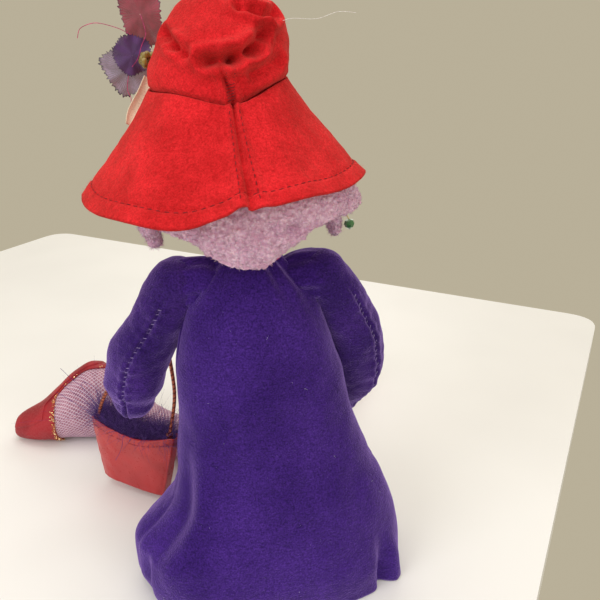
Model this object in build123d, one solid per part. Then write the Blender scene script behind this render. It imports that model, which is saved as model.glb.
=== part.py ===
"""Plush lady glove puppet, sitting with her legs out in front, facing -Y.

Origin: centre of the dress's open base on the surface it stands on.  +Z up, her left side is +X.
Every piece is one solid in its own file; moving pieces stay clear of each other over their travel.
"""
from build123d import *
import os
from math import cos, hypot, radians, sin, tan

os.makedirs("parts", exist_ok=True)

# ------------------------------------------------------------------ driving dimensions, mm
CLOTH = 1.2            # velour with its backing
LINING = 0.8           # cotton glove lining
FELT = 1.5             # hat felt
GAP = 0.5              # clearance round a moving soft joint

# dress: level ellipses from hem to neck, (x centre, y centre, z, half width, half depth)
DRESS = [(0, 0, 0, 76, 44), (2, 0, 14, 77, 44), (4, 0, 31, 74, 43), (1, 0, 60, 57, 39),
         (3, 0, 90, 48.5, 33), (7, 0, 134, 39, 26), (9, 0, 168, 29, 22),
         (10, -1, 182, 23, 20), (10, -2, 191, 16.5, 16)]
HEM_DEPTH = 12         # turned-up hem inside the base
LINING_LEVELS = slice(1, 8)

NECK = Vector(10, -2, 194)     # pivot of the head on the neck binding
TUBE_BORE = 9.0                # radius of the finger tube
TUBE_WALL = 2.0
TUBE_BELOW = 16                # the tube runs this far below the pivot
TUBE_ABOVE = 28
BINDING_IN, BINDING_OUT, BINDING_HIGH = 12.8, 16.5, 6.0

HEAD_LEAN = 5                  # the head leans to her left, degrees
HEAD_FOOT = Vector(10, -2, 188)
HEAD_R, HEAD_HALF = 29.0, 34.0
HEAD_MID = 38                  # height of the head's centre over its foot
HEAD_CUT = 14                  # underside of the head over its foot
HEAD_SKIN = 1.5

HAT_BASE = Vector(20, -4, 228)  # centre of the brim's lower edge
BRIM_R, CROWN_R, BRIM_HIGH, HAT_HIGH = 66.0, 31.5, 40.0, 83.0
CROWN_SPLIT = 64.0             # the crown's side meets its tip at this height over the brim's edge

LEFT_SHOULDER, RIGHT_SHOULDER = Vector(46, -9, 178), Vector(-27, 1, 183)
LEFT_ARM = [LEFT_SHOULDER, Vector(58, -13, 158), Vector(69, -17, 138), Vector(75, -20, 118), Vector(77, -22, 103)]
RIGHT_ARM = [RIGHT_SHOULDER, Vector(-42, -3, 163), Vector(-50, -8, 140), Vector(-52, -16, 117), Vector(-49, -27, 98)]
ARM_RADII = [14.5, 15, 16, 15, 10.5]
STALL_R, STALL_LONG = 9.5, 44  # finger stall inside each arm
RING_IN, RING_OUT, RING_NEAR, RING_FAR = 9.9, 11.2, 11.4, 13.4   # seam ring on the inboard side of the shoulder ball

LEG_R = 14.0
LEFT_HIP, LEFT_KNEE, LEFT_ANKLE = Vector(20, -59, 15), Vector(42, -120, 15), Vector(72, -158, 17)
RIGHT_HIP, RIGHT_KNEE, RIGHT_ANKLE = Vector(-20, -59, 15), Vector(-38, -118, 15), Vector(-42, -164, 17)
LEFT_TOE_WAY, RIGHT_TOE_WAY = Vector(0.970, -0.242, 0), Vector(-0.85, -0.527, 0)
# foot: upright ellipses from ankle to toe, (distance, centre height, half height, half width)
FOOT = [(0, 18, 16.5, 16), (10, 24, 23, 17), (22, 31, 29, 18), (34, 31, 30, 19),
        (49, 27, 26, 20), (64, 20, 19, 19), (79, 13.5, 12, 16), (93, 9.5, 7.5, 10)]
SHOE_WALL, SOLE_WALL = 1.3, 1.3
VAMP_AT = 62                   # the shoe closes over the foot from here to the toe
TRIM_WIDE = 3.0

PURSE_MID = Vector(79, -91, 3.2)   # middle of the purse's lower edge
PURSE_TURN = -38.3                 # degrees about Z
PURSE_TIP = 4.0                    # her outer corner sits higher, degrees
PURSE_LOW, PURSE_TOP, PURSE_HIGH, PURSE_DEEP, PURSE_WALL = 25.0, 34.0, 45.0, 14.0, 1.2
STRAP_D = 2.4
TAB_R, TAB_LONG = 2.4, 6.0        # crimped ends sewn into the purse's mouth
STRAP_ROUTE = [(54.4, -71.2, 52.0), (51.5, -66.5, 68.0), (49.5, -57.5, 88.0), (50.5, -46.5, 108.0),
               (52.3, -36.6, 127.5), (55.2, -35.0, 133.0), (60.5, -36.5, 135.6), (65.6, -40.2, 133.4),
               (69.8, -45.5, 127.5), (81.0, -60.0, 106.0), (91.0, -80.0, 84.0), (97.0, -95.6, 66.0),
               (99.6, -106.4, 53.0)]
STRAP_PIVOT = Vector(59.5, -35.0, 134.0)

FAR = 400                        # past everything
CAP_ANGLES = (30, 55, 75, 86)    # rings that round a limb's end

# ------------------------------------------------------------------ shared shapes


def level_loft(levels, grow=0.0):
    """Solid through level ellipses, each grown by the same amount."""
    return loft([Pos(x, y, z) * Ellipse(a + grow, b + grow) for x, y, z, a, b in levels], ruled=True)


def limb(points, radii, grow=0.0):
    """Stuffed limb: circles square to the path, with rings closing each end into a ball."""
    ways = [(points[min(i + 1, len(points) - 1)] - points[max(i - 1, 0)]).normalized() for i in range(len(points))]
    rings = [(p, w, r + grow) for p, w, r in zip(points, ways, radii)]
    first, last = rings[0], rings[-1]
    for angle in CAP_ANGLES:
        reach, width = sin(radians(angle)), cos(radians(angle))
        rings.insert(0, (first[0] - first[1] * (first[2] * reach), first[1], first[2] * width))
        rings.append((last[0] + last[1] * (last[2] * reach), last[1], last[2] * width))
    return loft([Plane(origin=p, x_dir=(0, 1, 0), z_dir=w) * Circle(r) for p, w, r in rings], ruled=True)


def rod(start, end, radius):
    way = end - start
    return extrude(Plane(origin=start, z_dir=way.normalized()) * Circle(radius), way.length)


def slab(low, high):
    """Axis-aligned block between two corners."""
    size = [h - l for l, h in zip(low, high)]
    return Pos(*low) * Box(*size, align=(Align.MIN, Align.MIN, Align.MIN))


def egg(radius, half, mid):
    """Egg of revolution about Z."""
    arc = EllipticalCenterArc((0, mid), radius, half, start_angle=-90, arc_size=180)
    return revolve(Plane.XZ * make_face(arc + Line((0, mid + half), (0, mid - half))), Axis.Z)


parts = {}
head_place = Pos(*HEAD_FOOT) * Rot(0, HEAD_LEAN, 0)
hat_place = Pos(*HAT_BASE) * Rot(0, HEAD_LEAN, 0)

# ------------------------------------------------------------------ dress, lining, neck


def across(centre, inboard, near, far, radius):
    """Cylinder along X on the inboard side of a shoulder."""
    return rod(centre + Vector(inboard * near, 0, 0), centre + Vector(inboard * far, 0, 0), radius)


def ring_room(centre, inboard):
    return across(centre, inboard, RING_NEAR - 0.6, RING_FAR + 0.6, RING_OUT + 0.6)


def make_dress():
    shell = level_loft(DRESS) - level_loft(DRESS, -CLOTH)
    for inboard, path in ((-1, LEFT_ARM), (1, RIGHT_ARM)):
        shell -= limb(path, ARM_RADII, 0.8)
        shell -= Pos(*path[0]) * Sphere(ARM_RADII[0] + GAP)
        shell -= ring_room(path[0], inboard)
    parts["dress_front_panel"] = shell & slab((-FAR, -FAR, -1), (FAR, 0, FAR))
    parts["dress_back_panel"] = shell & slab((-FAR, 0, -1), (FAR, FAR, FAR))
    facing = level_loft(DRESS, -CLOTH - 0.15) - level_loft(DRESS, -2 * CLOTH - 0.15)
    parts["dress_hem"] = facing & slab((-FAR, -FAR, -1), (FAR, FAR, HEM_DEPTH))
    levels = DRESS[LINING_LEVELS]
    glove = level_loft(levels, -CLOTH - 0.6) - level_loft(levels, -CLOTH - 0.6 - LINING)
    for inboard, path in ((-1, LEFT_ARM), (1, RIGHT_ARM)):
        glove -= limb(path, ARM_RADII, 0.8)
        glove -= Pos(*path[0]) * Sphere(ARM_RADII[0] + GAP)
        glove -= ring_room(path[0], inboard)
    parts["hand_lining"] = glove
    binding = Cylinder(BINDING_OUT, BINDING_HIGH) - Cylinder(BINDING_IN, BINDING_HIGH)
    parts["neck_binding"] = Pos(*NECK) * Pos(0, 0, 0.4) * binding


# ------------------------------------------------------------------ head, hair, hat


def make_head():
    outer = egg(HEAD_R, HEAD_HALF, HEAD_MID)
    inner = egg(HEAD_R - HEAD_SKIN, HEAD_HALF - HEAD_SKIN, HEAD_MID)
    above = slab((-FAR, -FAR, HEAD_CUT), (FAR, FAR, FAR))
    tube_low, tube_high = NECK - Vector(0, 0, TUBE_BELOW), NECK + Vector(0, 0, TUBE_ABOVE)
    tube = rod(tube_low, tube_high, TUBE_BORE + TUBE_WALL)
    parts["finger_tube"] = tube - rod(tube_low, tube_high, TUBE_BORE)
    tube_room = rod(tube_low, tube_high, TUBE_BORE + TUBE_WALL + 0.1)
    skin = (outer - inner) & above
    parts["head_face"] = head_place * (skin & slab((-FAR, -FAR, 0), (FAR, 0, FAR)))
    parts["head_back"] = head_place * (skin & slab((-FAR, 0, 0), (FAR, FAR, FAR)))
    parts["head_stuffing"] = head_place * (egg(HEAD_R - HEAD_SKIN - 0.2, HEAD_HALF - HEAD_SKIN - 0.2, HEAD_MID)
                                           & above) - tube_room
    features = {
        "nose": Pos(0, -HEAD_R - 1, HEAD_MID - 3) * Sphere(4.5),
        "left_eye": Pos(10, -HEAD_R + 3.2, HEAD_MID + 5) * Sphere(3.4),
        "right_eye": Pos(-10, -HEAD_R + 3.2, HEAD_MID + 5) * Sphere(3.4),
        "lips": Pos(0, -HEAD_R + 3.5, HEAD_MID - 13) * Rot(0, 90, 0) * Torus(4.0, 2.2) & slab((-3, -FAR, 0), (3, 0, FAR)),
    }
    for name, solid in features.items():
        parts[name] = head_place * (solid - egg(HEAD_R + 0.05, HEAD_HALF + 0.05, HEAD_MID))


HAIR = [(-2, 4, 9, 35, 29), (-7, 2, 19, 50, 36), (-6, 1, 30, 51.5, 37), (-1, 0, 44, 44, 35), (3, 0, 58, 34, 32)]
LOCKS = {"left_front_lock": [Vector(43, -18, 33), Vector(45, -20, 22), Vector(44, -20, 13)],
         "right_front_lock": [Vector(-48, -18, 30), Vector(-50, -20, 20), Vector(-50, -20, 10)]}
LOCK_RADII = [6.5, 6.0, 4.0]
EARRINGS = {"left_earring": Vector(42, -34, 14), "right_earring": Vector(-57, -13, 8)}


def make_hair():
    cap = level_loft(HAIR) - egg(HEAD_R + 0.3, HEAD_HALF + 0.3, HEAD_MID)
    cap -= slab((-25, -FAR, -1), (25, -10, 52))
    cap -= rod(Vector(0, 0, -1), Vector(0, 0, 20), 24)
    for name, path in LOCKS.items():
        lock = limb(path, LOCK_RADII)
        parts[name] = head_place * lock
        cap -= limb(path, LOCK_RADII, 0.3)
    parts["hair_cap"] = head_place * cap
    for name, centre in EARRINGS.items():
        gem = Pos(*centre) * Sphere(3.2)
        cap_ring = Pos(*(centre + Vector(0, 0, 3.6))) * Cylinder(1.0, 3.2)
        parts[name] = head_place * (gem + cap_ring)


CROWN_CURVE = [(CROWN_R, BRIM_HIGH), (31.4, 54), (29.8, 68), (23, 78.5), (0, HAT_HIGH)]


def crown_solid(grow):
    curve = [(r + grow if r else 0, z + (grow if i == len(CROWN_CURVE) - 1 else 0))
             for i, (r, z) in enumerate(CROWN_CURVE)]
    line = Spline(*curve, tangents=[(0, 1), (-1, 0)]) + Polyline(curve[-1], (0, BRIM_HIGH), curve[0])
    return revolve(Plane.XZ * make_face(line), Axis.Z)


def make_hat():
    slope = hypot(BRIM_R - CROWN_R, BRIM_HIGH)
    inward, down = FELT * BRIM_HIGH / slope, FELT * (BRIM_R - CROWN_R) / slope
    brim = Polygon((BRIM_R, 0), (CROWN_R, BRIM_HIGH), (CROWN_R - inward, BRIM_HIGH - down), (BRIM_R - inward, -down),
                   align=None)
    parts["hat_brim"] = hat_place * revolve(Plane.XZ * brim, Axis.Z)
    crown = crown_solid(0) - crown_solid(-FELT)
    parts["hat_crown"] = hat_place * (crown & slab((-FAR, -FAR, 0), (FAR, FAR, CROWN_SPLIT)))
    parts["hat_tip"] = hat_place * (crown & slab((-FAR, -FAR, CROWN_SPLIT), (FAR, FAR, FAR)))
    seam = slab((-1.6, CROWN_R - 2.5, BRIM_HIGH + 1), (1.6, CROWN_R + 2.5, BRIM_HIGH + 22))
    parts["hat_back_seam"] = hat_place * (seam - crown_solid(0.1))
    flower = {
        "flower_center": (Vector(22, -25, 57), Vector(0.6, -0.8, 0.1), 4.5, 4.5, 8.0),
        "flower_upper_petal": (Vector(24, -41, 75), Vector(-0.35, -0.9, 0.25), 10, 17, 0.9),
        "flower_lower_petal": (Vector(38, -41, 53), Vector(-0.2, -0.97, 0.15), 16, 14, 0.9),
        "flower_inner_petal": (Vector(33, -35, 60), Vector(-0.2, -0.97, 0.2), 9, 9, 0.9),
    }
    for name, (centre, facing, half_wide, half_high, thick) in flower.items():
        petal = extrude(Plane(origin=centre, x_dir=(1, 0, 0), z_dir=facing) * Ellipse(half_wide, half_high), thick)
        parts[name] = hat_place * (petal - crown_solid(0.1))
    leaf = extrude(Plane(origin=Vector(37, -19, 44), x_dir=(0.6, 0, -0.8), z_dir=(-0.1, -1, 0)) * Ellipse(11, 3.5), 0.9)
    parts["hat_leaf"] = hat_place * (leaf - crown_solid(0.1))


# ------------------------------------------------------------------ arms


def make_arm(side, path):
    way = (path[2] - path[0]).normalized()
    inboard = -1 if side == "left" else 1
    outer, hollow = limb(path, ARM_RADII), limb(path, ARM_RADII, -CLOTH)
    mouth_x = sorted((path[0].X + inboard * 9, path[0].X + inboard * FAR))
    mouth = slab((mouth_x[0], -FAR, 0), (mouth_x[1], FAR, FAR))
    parts[f"{side}_arm_sleeve"] = outer - hollow - mouth
    start, end = path[0] + way * 2, path[0] + way * STALL_LONG
    stall = rod(start, end, STALL_R) - rod(start, end - way * LINING, STALL_R - LINING)
    parts[f"{side}_finger_stall"] = stall
    below_stall = Plane(origin=end + way * 1.5, z_dir=way)
    filling = limb(path, ARM_RADII, -CLOTH - 0.4) & extrude(below_stall * Rectangle(FAR, FAR), FAR)
    parts[f"{side}_arm_stuffing"] = filling
    ring = across(path[0], inboard, RING_NEAR, RING_FAR, RING_OUT)
    parts[f"{side}_armhole_ring"] = ring - across(path[0], inboard, RING_NEAR, RING_FAR, RING_IN)


# ------------------------------------------------------------------ legs and shoes


def foot_loft(ankle, way, grow=0.0, shift=0.0):
    side = Vector(0, 0, 1).cross(way)
    return loft([Plane(origin=Vector(ankle.X, ankle.Y, 0) + way * (d + shift * (i == len(FOOT) - 1)) + Vector(0, 0, z),
                       x_dir=side, z_dir=way) * Ellipse(w + grow, h + grow)
                 for i, (d, z, h, w) in enumerate(FOOT)])


def make_leg(side, hip, knee, ankle, way):
    thigh_way = (knee - hip).normalized()
    thigh_end = knee - thigh_way * (LEG_R + GAP)
    parts[f"{side}_thigh"] = rod(hip, thigh_end, LEG_R) + Pos(*hip) * Sphere(LEG_R)
    shin_way = (ankle - knee).normalized()
    shin = rod(knee, ankle, LEG_R) + Pos(*knee) * Sphere(LEG_R) + Pos(*ankle) * Sphere(LEG_R)
    foot = foot_loft(ankle, way) & slab((-FAR, -FAR, 0.6), (FAR, FAR, FAR))
    parts[f"{side}_foot"] = foot
    parts[f"{side}_shin"] = largest(shin - foot_loft(ankle, way, SHOE_WALL + 0.1))
    frame = Plane(origin=Vector(ankle.X, ankle.Y, 0), x_dir=way, z_dir=Vector(0, 0, 1))
    leather = foot_loft(ankle, way, SHOE_WALL, SHOE_WALL) - foot_loft(ankle, way, 0.05, 0.05)
    floor_cut = slab((-FAR, -FAR, 0.2), (FAR, FAR, FAR))
    leather &= floor_cut
    vamp = extrude(frame * Pos(VAMP_AT + 60, 0, 0) * Rectangle(120, 120), 120)
    band_low = Plane(origin=frame.from_local_coords(Vector(VAMP_AT, 0, 33)), x_dir=side_of(way),
                     z_dir=(0.42 * way + Vector(0, 0, 0.91)).normalized())
    band = extrude(band_low * Rectangle(200, 200), 120) & extrude(frame * Pos(VAMP_AT - 29, 0, 0)
                                                                  * Rectangle(58, 120), 120)
    parts[f"{side}_shoe_upper"] = largest(leather & (vamp + band))
    sole_low = Plane(origin=frame.from_local_coords(Vector(VAMP_AT, 0, 37)), x_dir=side_of(way),
                     z_dir=(0.55 * way + Vector(0, 0, 0.83)).normalized())
    sole = foot_loft(ankle, way, SHOE_WALL + SOLE_WALL, SHOE_WALL) - foot_loft(ankle, way, SHOE_WALL + 0.05, SHOE_WALL)
    sole &= extrude(sole_low * Rectangle(200, 200), 120)
    sole &= extrude(frame * Pos(VAMP_AT, 0, 0) * Rectangle(2 * VAMP_AT - 12, 120), 120)
    parts[f"{side}_shoe_sole"] = sole
    trim = foot_loft(ankle, way, SHOE_WALL, 0) - foot_loft(ankle, way, 0.05, 0)
    trim &= extrude(frame * Pos(VAMP_AT - TRIM_WIDE / 2 - 0.05, 0, 0) * Rectangle(TRIM_WIDE, 120), 120) & floor_cut
    parts[f"{side}_shoe_trim"] = trim - extrude(band_low.offset(-0.2) * Rectangle(200, 200), 120)
    tab_y = hip.Y + LEG_R + 0.4
    tab = slab((hip.X - 8, tab_y, hip.Z - 4), (hip.X + 8, tab_y + 8, hip.Z + 4))
    parts[f"{side}_leg_tab"] = tab - level_loft(DRESS, 0.05)


def largest(solid):
    return solid.solids().sort_by(SortBy.VOLUME)[-1]


def side_of(way):
    return Vector(0, 0, 1).cross(way)


# ------------------------------------------------------------------ purse and strap


def make_purse():
    place = Pos(*PURSE_MID) * Rot(0, 0, PURSE_TURN) * Rot(0, -PURSE_TIP, 0)
    outline = [(-PURSE_LOW, 0), (PURSE_LOW, 0), (PURSE_TOP, PURSE_HIGH), (0, PURSE_HIGH - 5), (-PURSE_TOP, PURSE_HIGH)]
    face = Polygon(*outline, align=None)
    inset = 1.3
    inner = Polygon((-PURSE_LOW + inset, PURSE_WALL), (PURSE_LOW - inset, PURSE_WALL),
                    (PURSE_TOP - inset + 0.3, PURSE_HIGH + 2), (-PURSE_TOP + inset - 0.3, PURSE_HIGH + 2), align=None)
    half = PURSE_DEEP / 2
    plate = extrude(Plane.XZ * face, PURSE_WALL)
    parts["purse_front"] = place * Pos(0, -half + PURSE_WALL, 0) * plate
    parts["purse_back"] = place * Pos(0, half, 0) * plate
    gusset = extrude(Plane.XZ * face, PURSE_DEEP - 2 * PURSE_WALL) - extrude(Plane.XZ * inner, PURSE_DEEP)
    parts["purse_gusset"] = place * Pos(0, half - PURSE_WALL, 0) * gusset
    roll_r, roll_half = 5.0, PURSE_TOP - 16
    roll_a, roll_b = Vector(-roll_half, 0, PURSE_HIGH - 1), Vector(roll_half, 0, PURSE_HIGH - 1)
    roll = rod(roll_a, roll_b, roll_r) + Pos(*roll_a) * Sphere(roll_r) + Pos(*roll_b) * Sphere(roll_r)
    parts["marabou_trim"] = place * Pos(0, 0, 3.2) * roll
    path = FilletPolyline(*STRAP_ROUTE, radius=strap_radii())
    ring = Plane(origin=path @ 0, z_dir=path % 0) * Circle(STRAP_D / 2)
    parts["purse_strap"] = sweep(ring, path=path)
    print("strap volume", round(parts["purse_strap"].volume, 1), "section times length",
          round(3.14159 * (STRAP_D / 2) ** 2 * path.length, 1), "length", round(path.length, 1))
    for name, end in (("strap_left_tab", STRAP_ROUTE[-1]), ("strap_right_tab", STRAP_ROUTE[0])):
        parts[name] = rod(Vector(*end), Vector(*end) - Vector(0, 0, TAB_LONG), TAB_R)
    toward_arm = Vector(0.62, 0.784, 0)
    parts["strap_tack"] = rod(STRAP_PIVOT + toward_arm * 2.4, STRAP_PIVOT + toward_arm * 9, 1.5) - limb(
        LEFT_ARM, ARM_RADII, 0.05)


def strap_radii():
    """Each bend as large as its two runs allow."""
    points = [Vector(*p) for p in STRAP_ROUTE]
    radii = []
    for a, b, c in zip(points, points[1:], points[2:]):
        turn = (b - a).get_angle(c - b)
        radii.append(0.45 * min((b - a).length, (c - b).length) / tan(radians(turn / 2)))
    print("strap radii", [round(r, 1) for r in radii])
    return radii


make_dress()
make_head()
make_hair()
make_hat()
make_arm("left", LEFT_ARM)
make_arm("right", RIGHT_ARM)
make_leg("left", LEFT_HIP, LEFT_KNEE, LEFT_ANKLE, LEFT_TOE_WAY)
make_leg("right", RIGHT_HIP, RIGHT_KNEE, RIGHT_ANKLE, RIGHT_TOE_WAY)
make_purse()

for name, solid in parts.items():
    export_step(solid, f"parts/{name}.step")
print(len(parts), "nodes written")
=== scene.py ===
"""Looks of the plush lady glove puppet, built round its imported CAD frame.

Lengths in this file are millimetres until a mesh is made; Blender objects are in metres.
+Z is up, her face looks along -Y and her left side is +X.
"""
from math import cos, exp, pi, radians, sin

import bpy
import numpy as np
from mathutils import Matrix, Vector, noise


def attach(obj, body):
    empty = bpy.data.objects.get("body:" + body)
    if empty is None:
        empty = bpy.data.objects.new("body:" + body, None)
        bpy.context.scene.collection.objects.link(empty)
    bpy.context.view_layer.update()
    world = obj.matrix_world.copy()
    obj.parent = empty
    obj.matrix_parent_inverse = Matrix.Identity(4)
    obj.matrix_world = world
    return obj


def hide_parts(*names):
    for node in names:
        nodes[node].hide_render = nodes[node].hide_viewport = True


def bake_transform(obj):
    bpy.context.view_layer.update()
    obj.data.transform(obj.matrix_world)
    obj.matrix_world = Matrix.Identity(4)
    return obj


MM = 0.001
rng = np.random.default_rng(7)
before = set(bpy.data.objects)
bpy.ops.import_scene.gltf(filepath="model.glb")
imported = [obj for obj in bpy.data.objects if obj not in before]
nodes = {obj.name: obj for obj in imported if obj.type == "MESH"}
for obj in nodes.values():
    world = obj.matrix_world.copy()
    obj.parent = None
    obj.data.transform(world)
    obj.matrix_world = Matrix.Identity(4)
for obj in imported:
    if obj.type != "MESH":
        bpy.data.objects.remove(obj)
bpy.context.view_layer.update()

# ------------------------------------------------------------------ mesh helpers


def grid(rows, closed=True, ring=False):
    """Vertices, faces and UVs of a quad grid; closed joins the last column to the first, ring the last row."""
    rows = np.asarray(rows, float)
    n, m, _ = rows.shape
    last = m if closed else m - 1
    end = n if ring else n - 1
    faces, uvs = [], []
    for i in range(end):
        for j in range(last):
            k, up = (j + 1) % m, (i + 1) % n
            faces.append((i * m + j, i * m + k, up * m + k, up * m + j))
            u, u2, v, v2 = j / last, (j + 1) / last, i / end, (i + 1) / end
            uvs += [u, v, u2, v, u2, v2, u, v2]
    return rows.reshape(-1, 3), faces, uvs


def piece(name, shape, paint, body, place=None, stands_for=()):
    """A mesh object in metres from (vertices in mm, faces, UVs or None), riding on a body."""
    verts, faces, uvs = shape
    mesh = bpy.data.meshes.new(name)
    mesh.from_pydata((np.asarray(verts, float) * MM).tolist(), [], faces)
    if uvs is not None:
        mesh.uv_layers.new(name="UVMap").data.foreach_set("uv", np.asarray(uvs, float).ravel())
    mesh.polygons.foreach_set("use_smooth", [True] * len(mesh.polygons))
    if place is not None:
        mesh.transform(place)
    mesh.materials.append(paint)
    mesh.update()
    obj = bpy.data.objects.new(name, mesh)
    bpy.context.scene.collection.objects.link(obj)
    if stands_for:
        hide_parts(*stands_for)
    if body:
        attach(obj, body)
    return obj


def modify(obj, kind, **settings):
    """Adds one modifier and bakes it into the mesh."""
    mod = obj.modifiers.new(kind, kind)
    for key, value in settings.items():
        setattr(mod, key, value)
    baked = bpy.data.meshes.new_from_object(obj.evaluated_get(bpy.context.evaluated_depsgraph_get()))
    obj.modifiers.clear()
    old = obj.data
    obj.data = baked
    bpy.data.meshes.remove(old)
    return obj


def merge(*shapes):
    """Several (vertices, faces, UVs) as one, without UVs."""
    verts, faces, start = [], [], 0
    for v, f, _ in shapes:
        verts.append(np.asarray(v, float))
        faces += [tuple(i + start for i in face) for face in f]
        start += len(v)
    return np.concatenate(verts), faces, None


def curve_through(table, at):
    """Smooth values between table rows (key, value, value...) at the given keys, without overshoot."""
    table = np.asarray(table, float)
    keys, values = table[:, 0], table[:, 1:]
    step = np.diff(keys)[:, None]
    slope = np.diff(values, axis=0) / step
    inner = np.where(slope[:-1] * slope[1:] > 0, 2 * slope[:-1] * slope[1:] / (slope[:-1] + slope[1:] + 1e-9), 0)
    tangent = np.concatenate([slope[:1], inner, slope[-1:]])
    at = np.clip(np.asarray(at, float), keys[0], keys[-1])
    i = np.clip(np.searchsorted(keys, at, side="right") - 1, 0, len(keys) - 2)
    t = ((at - keys[i]) / step[i, 0])[:, None]
    h = step[i]
    return (values[i] * (1 + 2 * t) * (1 - t) ** 2 + tangent[i] * h * t * (1 - t) ** 2
            + values[i + 1] * t * t * (3 - 2 * t) + tangent[i + 1] * h * t * t * (t - 1))


def unit(a):
    return a / np.maximum(np.linalg.norm(a, axis=-1, keepdims=True), 1e-12)


def tube_frames(path):
    """Directions and two side axes that turn as little as possible along a path."""
    along = unit(np.gradient(path, axis=0))
    side = np.zeros_like(path)
    guess = np.array([0.0, 1.0, 0.0]) if abs(along[0][1]) < 0.9 else np.array([1.0, 0.0, 0.0])
    for i, way in enumerate(along):
        guess = unit(guess - way * (guess @ way))
        side[i] = guess
    return along, side, np.cross(along, side)


def limb_rows(points, radii, around=96, step=1.0, flat=1.0):
    """Rings along a smooth path through points, closed by round ends; flat squeezes the second side axis."""
    points = np.asarray(points, float)
    chord = np.concatenate([[0], np.cumsum(np.linalg.norm(np.diff(points, axis=0), axis=1))])
    count = max(int(chord[-1] / step), 8)
    at = np.linspace(0, chord[-1], count)
    line = curve_through(np.column_stack([chord, points, radii]), at)
    path, radius = line[:, :3], line[:, 3]
    along, side, up = tube_frames(path)
    cap = np.radians(np.linspace(89, 8, 14))
    first = [(path[0] - along[0] * radius[0] * sin(a), side[0], up[0], radius[0] * cos(a)) for a in cap]
    last = [(path[-1] + along[-1] * radius[-1] * sin(a), side[-1], up[-1], radius[-1] * cos(a)) for a in cap[::-1]]
    rings = first + list(zip(path, side, up, radius)) + last
    angles = np.linspace(0, 2 * pi, around, endpoint=False)
    return np.array([p + r * (np.outer(np.cos(angles), s) + flat * np.outer(np.sin(angles), u))
                     for p, s, u, r in rings])


def strands(lines, radii, sides=3):
    """Thin tapering fibres: lines is (count, points, 3) and radii (count, points)."""
    lines, radii = np.asarray(lines, float), np.asarray(radii, float)
    n, k, _ = lines.shape
    along = unit(np.gradient(lines, axis=1))
    ref = np.where(np.abs(along[..., 2:]) < 0.9, [0.0, 0.0, 1.0], [1.0, 0.0, 0.0])
    side = unit(np.cross(along, ref))
    up = np.cross(side, along)
    angle = 2 * pi * np.arange(sides) / sides
    ring = (side[:, :, None] * np.cos(angle)[:, None] + up[:, :, None] * np.sin(angle)[:, None])
    verts = (lines[:, :, None] + radii[:, :, None, None] * ring).reshape(-1, 3)
    i, j, s = np.meshgrid(np.arange(n), np.arange(k - 1), np.arange(sides), indexing="ij")
    near, far = (i * k + j) * sides, (i * k + j + 1) * sides
    turn = (s + 1) % sides
    faces = np.stack([near + s, near + turn, far + turn, far + s], -1).reshape(-1, 4)
    return verts, faces.tolist(), None


def lumps(points, size, seed=0.0):
    """Smooth noise from -1 to 1 at points in mm, with features of about that size in mm."""
    shape = points.shape[:-1]
    flat = points.reshape(-1, 3) / size + seed
    return np.array([noise.noise(p) for p in flat.tolist()]).reshape(shape)


def bell(x, width):
    return np.exp(-(np.asarray(x) / width) ** 2)


def ramp(x, low, high):
    """0 below low, 1 above high, smooth between."""
    t = np.clip((np.asarray(x, float) - low) / (high - low), 0, 1)
    return t * t * (3 - 2 * t)


def outward(rows, closed=True):
    """Unit normals of a grid of rows."""
    if closed:
        around = np.roll(rows, -1, 1) - np.roll(rows, 1, 1)
    else:
        around = np.gradient(rows, axis=1)
    return unit(np.cross(around, np.gradient(rows, axis=0)))


def fuzz(name, obj, paint, body, count, length, radius=0.035, lean=0.8, drop=0.0, keep=None):
    """Short stray fibres standing off a piece's faces; keep chooses where, from points in mm."""
    mesh = obj.data
    centres = np.array([p.center for p in mesh.polygons]) / MM
    normals = np.array([p.normal for p in mesh.polygons])
    chance = np.array([p.area for p in mesh.polygons])
    if keep is not None:
        chance = chance * keep(centres, normals)
    pick = rng.choice(len(chance), count, p=chance / chance.sum())
    way = unit(normals[pick] + rng.normal(0, lean, (count, 3)) + np.array([0, 0, -drop]))
    bend = rng.normal(0, 0.5, (count, 3)) + np.array([0, 0, -drop])
    size = length * rng.uniform(0.4, 1.3, (count, 1, 1))
    t = np.linspace(0, 1, 5)[None, :, None]
    root = centres[pick][:, None] - normals[pick][:, None] * 0.1 + rng.normal(0, 0.25, (count, 1, 3))
    lines = root + size * (way[:, None] * t + bend[:, None] * t * t * 0.6)
    thin = radius * (1 - 0.75 * t[..., 0]) * np.ones((count, 1))
    return piece(name, strands(lines, thin), paint, body)


# ------------------------------------------------------------------ material helpers


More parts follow.
